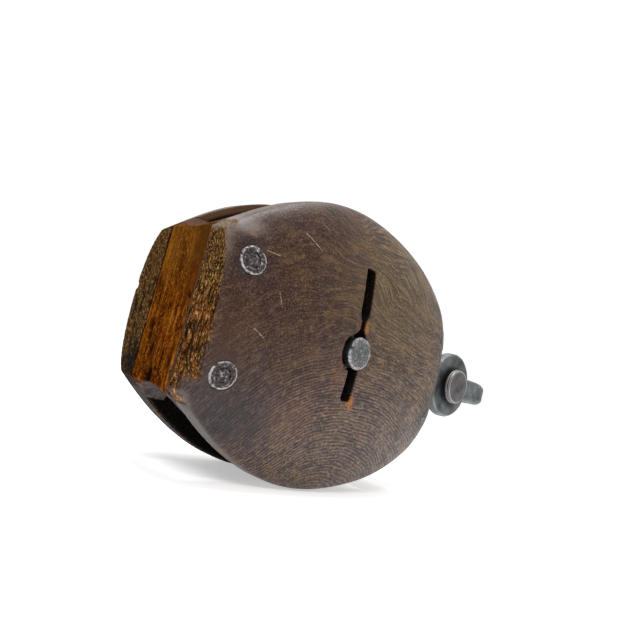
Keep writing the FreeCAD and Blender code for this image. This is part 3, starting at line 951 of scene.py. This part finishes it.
def tail_filler():
    piece = fine_copy("tail_filler", "Filler_Tail", 0.5)
    mesh = piece.data
    points = points_of(mesh)
    normals = normals_of(mesh)
    x, y, z = points.T
    facing_aft = smoothstep(0.3, 0.75, -normals[:, 0]) * (x < TAIL_X + 3)
    grooves = rough_noise(points, 2.4, 21, (1, 1, 0.1)) * 0.25
    pits = smoothstep(0.30, 0.55, rough_noise(points, 2.8, 24, (1, 1, 0.3)))
    pits *= smoothstep(14, -20, z)
    notch = np.exp(-(((y - 2.5) / 2.3) ** 2) - ((z + 37) / 5.5) ** 2) * 4.5
    points[:, 0] += facing_aft * (np.clip(grooves + 0.2, 0, 1) + pits * 1.4)
    points[:, 0] += notch * (x < TAIL_X + 5)
    lip = smoothstep(TAIL_X + 9, TAIL_X + 1, x) * smoothstep(30, 34, z)
    points[:, 2] += lip * np.clip(half_width(x) - 0.2 - z, 0, None) * 0.9
    move_points(mesh, points)
    stripe = np.exp(-(((y - 2.5) / 2.2) ** 2)) * smoothstep(-14, -30, z) * 0.8
    pit = np.clip(facing_aft * (pits + stripe) + (notch > 1.2), 0, 1)
    mark(mesh, end=np.clip(facing_aft, 0, 1), pit=pit)
    return piece


def crown_filler():
    piece = fine_copy("crown_filler", "Filler_Head", 0.8)
    mesh = piece.data
    points, off = settle_on_dome(points_of(mesh))
    # Painted shade: the filler grows darker the deeper it lies below the shell's outline.
    mark(mesh, torn=0, pit=0, amber=0, rub=0, sooty=smoothstep(2.0, 12.0, -off) * 0.6)
    points += normals_of(mesh) * (tool_marks(points, 33) * 0.6)[:, None]
    move_points(mesh, points)
    return piece


def build_wood():
    front = wooden_cheek("front_cheek", "Cheek_Front", -1, 3, cutters=[worn_pin_hole()])
    stand_for(front, "cheek_front", "front_cheek")
    back = wooden_cheek("back_cheek", "Cheek_Back", 1, 11)
    stand_for(back, "cheek_back", "back_cheek")
    stand_for(tail_filler(), "filler", "tail_filler")
    stand_for(crown_filler(), "cheek_crown", "crown_filler")


# ---- iron, pins and rivets

def hammered(piece, broad, fine, seed):
    """Presses a forged unevenness into a dense mesh."""
    mesh = piece.data
    points = points_of(mesh)
    normals = normals_of(mesh)
    push = rough_noise(points, 9, seed) * broad + rough_noise(points, 3, seed + 1) * fine
    move_points(mesh, points + normals * (push - broad * 0.5)[:, None])
    return piece


def shackle_bow():
    piece = hammered(fine_copy("shackle", "Shackle_Bow", 0.6, smooth=1), 0.22, 0.05, 41)
    points = points_of(piece.data)
    reach = np.hypot(points[:, 0] - SHACKLE_X, points[:, 2])
    bend = node_box("shackle")[1]
    ear_r = bend.z
    # A painted highlight along the ear's rim.
    rim = np.exp(-(((reach - ear_r + 1.0) / 0.7) ** 2)) * (points[:, 0] < SHACKLE_X + 14)
    around = np.hypot(np.clip(points[:, 0] - (bend.x - bend.y), 0, None), points[:, 1])
    corner = smoothstep(bend.y - 6.0, bend.y, around) * (points[:, 0] > bend.x - bend.y)
    points[:, 2] *= 1 - 0.22 * corner**2
    move_points(piece.data, points)
    # Painted shadow of the pin head on the ear's face; the rest of the face is also darker.
    shadow_under_head = smoothstep(15.5, 11.0, reach) * (points[:, 1] < 0)
    dark_face = 0.22 * smoothstep(ear_r - 1.0, ear_r - 2.5, reach) * (points[:, 1] < 0)
    mark(piece.data, rub=rim * 0.22, sooty=np.clip(shadow_under_head * 0.65 + dark_face, 0, 1))
    return piece


def shackle_pin():
    """Turned pin: two rings round the head's rim, a flat middle, and a chamfered tail."""
    front, back = SHACKLE_PIN_Y
    head = 3.6
    r = node_box("shackle_pin")[1].z
    neck = 7.0
    profile = [
        (0, front), (r - 1.5, front), (r - 1.25, front + 0.18), (r - 0.8, front + 0.05),
        (r - 0.3, front + 0.3), (r - 0.12, front + 0.8), (r - 0.05, front + 1.2),
        (r - 0.35, front + 1.5), (r - 0.35, front + 1.75), (r, front + 2.05),
        (r, front + head - 0.8), (r - 0.25, front + head - 0.25), (r - 0.8, front + head),
        (neck + 0.3, front + head), (neck, front + head + 0.3), (neck, back - 1.2),
        (neck - 1.1, back), (0, back),
    ]
    piece = lathe("Shackle_Pin", profile, SHACKLE_X, 128)
    points = points_of(piece.data)
    reach = np.hypot(points[:, 0] - SHACKLE_X, points[:, 2])
    # Painted highlights on the head's rings and rim edge, and painted shade in the groove between
    # the rings.
    ring = np.exp(-(((reach - (r - 0.9)) / 0.45) ** 2)) * (points[:, 1] < front + 0.6)
    edge = smoothstep(r - 0.25, r, reach) * (points[:, 1] < front + 3)
    groove = np.exp(-(((points[:, 1] - front - 1.6) / 0.3) ** 2)) * (reach > r - 1)
    mark(piece.data, rub=np.clip(ring + edge, 0, 1), sooty=groove * 0.7)
    return piece


def split_pin():
    """One folded wire: an eye above, two legs through the pin and bent apart below."""
    low, high = node_box("split_pin")
    y = (low.y + high.y) / 2
    wire = 0.95
    eye = 2.6
    top = high.z - eye - wire
    route = [(-3.6, low.z + 1.2), (-1.6, low.z + 3.4), (-1.0, low.z + 7.0), (-1.0, top - 3.6)]
    for i in range(9):
        turn = math.radians(235 - i * 290 / 8)
        route.append((eye * math.cos(turn), top + eye * math.sin(turn)))
    route += [(1.0, top - 3.6), (1.0, low.z + 7.0), (1.6, low.z + 3.4), (3.6, low.z + 1.2)]
    curve = bpy.data.curves.new("Split_Pin", "CURVE")
    curve.dimensions = "3D"
    curve.bevel_depth = wire * MM
    curve.bevel_resolution = 4
    curve.use_fill_caps = True
    line = curve.splines.new("NURBS")
    line.points.add(len(route) - 1)
    for point, (x, z) in zip(line.points, route):
        point.co = (*(Vector((SHACKLE_X + x, y, z)) * MM), 1)
    line.order_u = 3
    line.use_endpoint_u = True
    wire_object = add_object("Split_Pin_Wire", curve)
    mesh = evaluated_mesh(wire_object)
    bpy.data.objects.remove(wire_object)
    mesh.shade_smooth()
    mark(mesh, rub=0, sooty=0)
    return add_object("Split_Pin", mesh)


def ring_on_pin(name, node, hole, corner, outer=11.0):
    """A washer or spacer on the shackle pin, as thick as its CAD node."""
    low, high = node_box(node)
    section = [(hole, low.y), (outer, low.y), (outer, high.y), (hole, high.y)]
    piece = lathe(name, rounded(section, corner), SHACKLE_X)
    mark(piece.data, rub=0, sooty=0)
    return piece


def sheave_pin():
    """The pin: its front end peened over in radial dents, its head let into the back cheek."""
    front, back = PIN_FRONT_Y, PIN_BACK_Y
    face = [(0, front)] + [(r, front + 0.02 * (r / 7) ** 4) for r in np.linspace(0.8, 7.2, 12)]
    profile = face + [
        (7.7, front + 0.18), (8.15, front + 0.45), (8.42, front + 0.85), (PEEN_R, front + 1.3),
        (8.3, front + 1.75), (PIN_R, front + 2.0), (PIN_R, 0), (PIN_R, back - PIN_HEAD),
        (PIN_HEAD_R, back - PIN_HEAD), (PIN_HEAD_R, back - 1.6), (PIN_HEAD_R - 0.5, back - 0.5),
        (PIN_HEAD_R - 1.7, back), (5.0, back), (0, back),
    ]
    piece = lathe("Sheave_Pin", profile, segments=128)
    points = points_of(piece.data)
    x, y, z = points.T
    reach = np.hypot(x, z)
    turn = np.arctan2(z, x)
    on_end = (y < front + 1.4) * smoothstep(3.0, 7.5, reach)
    rays = np.stack([np.cos(turn) * 5, np.sin(turn) * 5, reach * 0.25], -1)
    dents = np.clip(rough_noise(rays, 1.1, 51) + 0.15, 0, 1) * 0.8
    bite = np.exp(-(((x + 7.6) / 1.6) ** 2) - ((z - 2.2) / 1.3) ** 2)
    points[:, 1] += on_end * dents * 0.8 + bite * (y < front + 1.4) * 0.9
    points[:, 0] += bite * 0.8
    move_points(piece.data, points)
    # The peened rim and flat dent tops are worn pale; the pin's side inside its hole gets painted
    # shade.
    rim = (y < front + 0.9) * smoothstep(6.7, 7.7, reach)
    side = smoothstep(front + 0.7, front + 1.3, y)
    rub = np.clip(rim + on_end * (dents < 0.06) * 0.3, 0, 1) * (1 - side)
    mark(piece.data, rub=rub, sooty=side * 0.85)
    return piece


def pin_key():
    piece = hammered(fine_copy("pin_key", "Pin_Key", 0.35, smooth=1), 0.08, 0.04, 61)
    # The whole key marked pale: a painted glint on its edge in the dark slot.
    mark(piece.data, rub=0.8, sooty=0)
    return piece


def dome_disc(name, x0, z0, side, inner, outer, deep, seed):
    """A hammered disc or ring that lies flush in a cheek's face and follows its curve."""
    turns = 64
    radii = np.linspace(inner, outer - 0.25, 9)
    rings = [(r, 0.0) for r in radii] + [(outer, 0.3), (outer, deep), (inner, deep)]
    form = bmesh.new()
    grid = []
    for r, down in rings:
        count = turns if r > 0 else 1
        row = []
        for i in range(count):
            turn = 2 * math.pi * i / turns
            x = x0 + r * math.cos(turn)
            z = z0 + r * math.sin(turn)
            y = float(dome_y(np.array(x), np.array(z))) + 0.12
            dent = noise.noise(Vector((x * 0.8, seed, z * 0.8))) * 0.22
            lift = 0.14 * math.sin(math.pi * (r - inner) / (outer - inner))
            y += (dent + lift) * (down == 0) - down
            row.append(form.verts.new(Vector((x, side * y, z)) * MM))
        grid.append(row)
    if inner:
        grid.append(grid[0])
    mesh = skinned(name, form, grid, turns)
    reach = np.hypot(*(points_of(mesh)[:, [0, 2]] - (x0, z0)).T)
    rim = smoothstep(BURR_R - 1.0, BURR_R - 0.5, reach) * (0.85 if x0 < 0 else 0.25)
    seam = np.exp(-(((reach - RIVET_R) / 0.3) ** 2)) * 0.25
    mark(mesh, rub=rim, sooty=seam)
    return add_object(name, finished(mesh, 50))


def joined_pieces(name, pieces):
    """Several separate solids as the one piece that stands for their shared node."""
    form = bmesh.new()
    for piece in pieces:
        form.from_mesh(piece.data)
        bpy.data.objects.remove(piece)
    return add_object(name, finished(mesh_of(name, form), 50))


def build_rivets():
    for side, word in ((-1, "front"), (1, "back")):
        rings = []
        for i, (x, z) in enumerate(RIVETS.values()):
            hole = RIVET_R + 0.12
            rings.append(dome_disc(f"ring{i}", x, z, side, hole, BURR_R, BURR_DEEP, i * 3.7))
        piece = joined_pieces("Burrs_" + word.capitalize(), rings)
        stand_for(piece, "rivet", "rivet_burrs_" + word)
    for i, (node, (x, z)) in enumerate(RIVETS.items()):
        ends = [dome_disc(f"end{side}", x, z, side, 0, RIVET_R, 20.0, i + side) for side in (-1, 1)]
        piece = joined_pieces(node.title().replace("Crown", "Head"), ends)
        stand_for(piece, "rivet", node)


def sheave():
    """The wheel, turned with a rope groove, a bead near the rim and a line round the bush."""
    half, rim = SHEAVE_HALF, SHEAVE_R
    groove_centre, groove_r = 57.0, 12.0
    side = [(20.1, FLANGE_Y), (20.1, half - 0.4), (20.6, half), (25, half), (25.3, half - 0.5),
            (25.9, half - 0.5), (26.2, half), (46.5, half), (46.9, half - 0.45),
            (47.6, half - 0.45), (48.0, half), (rim - 1.2, half), (rim - 0.3, half - 0.4),
            (rim, half - 1.2), (rim, 12.2)]
    groove = []
    lip = math.acos((groove_centre - rim) / groove_r)
    for i in range(25):
        turn = lip * (1 - i / 12)
        groove.append((groove_centre - groove_r * math.cos(turn), groove_r * math.sin(turn)))
    profile = [(BUSH_R + FIT, FLANGE_Y)] + side + groove
    profile += [(r, -y) for r, y in reversed(side)] + [(BUSH_R + FIT, -FLANGE_Y)]
    return lathe("Sheave", profile, segments=160)


def build_sheave():
    stand_for(sheave(), "sheave", "sheave")
    bore = PIN_R + 0.06
    bush = [(bore, -SHEAVE_HALF), (FLANGE_R, -SHEAVE_HALF), (FLANGE_R, -FLANGE_Y),
            (BUSH_R, -FLANGE_Y), (BUSH_R, SHEAVE_HALF), (bore, SHEAVE_HALF)]
    stand_for(lathe("Sheave_Bush", rounded(bush, 0.4)), "bronze", "sheave_bush")
    hole = BUSH_R + 0.04
    plate = [(hole, FLANGE_Y), (FLANGE_R, FLANGE_Y), (FLANGE_R, SHEAVE_HALF), (hole, SHEAVE_HALF)]
    stand_for(lathe("Bush_Plate", rounded(plate, 0.4)), "bronze", "bush_plate")


def dress_cad_nodes():
    """CAD nodes whose shapes are right keep them and take a finish of their own."""
    finishes = {"front_strap": "strap", "back_strap": "strap", "bush_rivets": "bronze"}
    for node, key in finishes.items():
        mesh = frame["nodes"][node].data
        mesh.materials.clear()
        mesh.materials.append(MATERIALS[key])


def build_iron():
    stand_for(shackle_bow(), "forged", "shackle")
    stand_for(shackle_pin(), "head", "shackle_pin")
    washer = ring_on_pin("Shackle_Washer", "shackle_pin_washer", 7.05, 0.5)
    stand_for(washer, "forged", "shackle_pin_washer")
    stand_for(split_pin(), "pin", "split_pin")
    spacer = ring_on_pin("Strap_Spacer", "strap_spacer", 7.1, 1.0)
    stand_for(spacer, "strap", "strap_spacer")
    stand_for(sheave_pin(), "pin", "sheave_pin")
    stand_for(pin_key(), "key", "pin_key")


# ---- studio. The camera's place is in millimetres, the floor and lights are in metres.

CAMERA_PLACE = (-223.4, -234.8, -17.8)
CAMERA_FORWARD = (0.7031, 0.7039, 0.1012)
CAMERA_UP = (-0.2422, 0.1031, 0.9647)
LENS = 32.4
FLOOR_REACH = 30.0
FLOOR_BELOW = 0.0003
PAPER_GLOW = 0.45
LIGHT_SIZE = 0.4
LIGHT_POWER = 5
# The world: its brightest direction, where it starts and stops growing brighter, and how bright.
SKY_BRIGHTEST = (0.45, 0.45, 0.77)
SKY_RISE = (-0.1, 0.95)
SKY_STRENGTH = (0.16, 1.1)


def add_camera():
    camera = bpy.data.objects.new("Camera", bpy.data.cameras.new("Camera"))
    COLLECTION.objects.link(camera)
    back = -Vector(CAMERA_FORWARD).normalized()
    right = Vector(CAMERA_UP).cross(back).normalized()
    up = back.cross(right)
    turn = Matrix((right, up, back)).transposed().to_4x4()
    camera.matrix_world = Matrix.Translation(Vector(CAMERA_PLACE) * MM) @ turn
    camera.data.sensor_width = 36.0
    camera.data.lens = LENS
    camera.data.clip_start = 0.005
    bpy.context.scene.camera = camera


def add_area_light(name, place):
    """A round light aimed at the block."""
    light = bpy.data.lights.new(name, "AREA")
    light.shape = "DISK"
    light.size = LIGHT_SIZE
    light.energy = LIGHT_POWER
    lamp = bpy.data.objects.new(name, light)
    COLLECTION.objects.link(lamp)
    lamp.location = place
    lamp.rotation_euler = (-Vector(place)).to_track_quat("-Z", "Y").to_euler()


def add_studio():
    mesh = bpy.data.meshes.new("Floor")
    far, level = FLOOR_REACH, CAD_BOX[0][2] - FLOOR_BELOW
    corners = [(x, y, level) for x, y in ((-far, -far), (far, -far), (far, far), (-far, far))]
    mesh.from_pydata(corners, [], [(0, 1, 2, 3)])
    paper = Shade("floor_paper", roughness=0.9)
    set_inputs(paper.shader, Emission_Color=(1, 1, 1, 1), Emission_Strength=PAPER_GLOW)
    tone = paper.mix(paper.noise(40, detail=3), (0.90, 0.90, 0.90, 1), (0.92, 0.92, 0.92, 1))
    mesh.materials.append(paper.finish(tone))
    add_object("Floor", mesh)
    add_world()
    add_area_light("Key", (-0.65, -0.6, 0.8))
    add_area_light("Top", (0.02, 0.02, 0.8))
    bpy.context.scene.view_settings.view_transform = "Standard"


def add_world():
    """White paper all round: brightest above and behind, dim on the side the room is on."""
    world = bpy.data.worlds.new("Studio")
    bpy.context.scene.world = world
    world.use_nodes = True
    nodes, links = world.node_tree.nodes, world.node_tree.links
    background = nodes["Background"]
    set_inputs(background, Color=(1, 1, 1, 1))
    across = nodes.new("ShaderNodeVectorMath")
    across.operation = "DOT_PRODUCT"
    across.inputs[1].default_value = SKY_BRIGHTEST
    links.new(nodes.new("ShaderNodeTexCoord").outputs["Generated"], across.inputs[0])
    rise = nodes.new("ShaderNodeMapRange")
    rise.interpolation_type = "SMOOTHSTEP"
    for socket, value in zip(rise.inputs[1:5], SKY_RISE + SKY_STRENGTH):
        socket.default_value = value
    links.new(across.outputs["Value"], rise.inputs[0])
    seen = nodes.new("ShaderNodeMath")
    seen.operation = "MAXIMUM"
    links.new(rise.outputs[0], seen.inputs[0])
    links.new(nodes.new("ShaderNodeLightPath").outputs["Is Camera Ray"], seen.inputs[1])
    links.new(seen.outputs[0], background.inputs["Strength"])


add_camera()
add_studio()
build_wood()
build_rivets()
build_sheave()
build_iron()
dress_cad_nodes()
